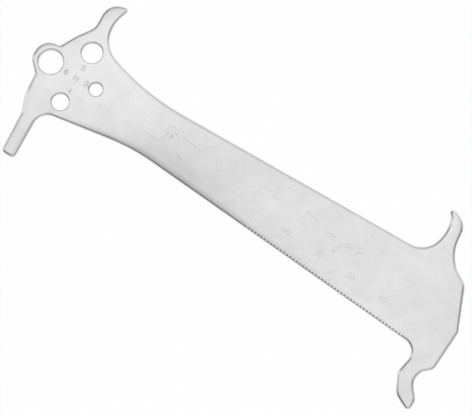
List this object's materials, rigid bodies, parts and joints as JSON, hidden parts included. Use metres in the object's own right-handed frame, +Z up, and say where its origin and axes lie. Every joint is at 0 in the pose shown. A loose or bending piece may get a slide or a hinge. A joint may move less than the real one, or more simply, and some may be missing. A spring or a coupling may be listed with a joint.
{
  "type": "chain wear gauge",
  "caption": "Flat steel gauge with curved prongs at both ends that drop between chain rollers, bolt gauge holes and an engraved rule edge.",
  "frame": {"origin": "bottom centre of the bounding box, on the underside of the sheet", "axes": "+X along the gauge from the head with its holes to the tail, +Y across it towards the hook's side, +Z up through the sheet to the marked face"},
  "size_m": [0.132, 0.0506, 0.0018],
  "materials": {
    "tumbled_steel": "stamped stainless sheet, tumbled to a soft satin with rounded edges and fine handling marks"
  },
  "bodies": {
    "root": {"gauge_plate": "tumbled_steel"}
  },
  "joints": []
}
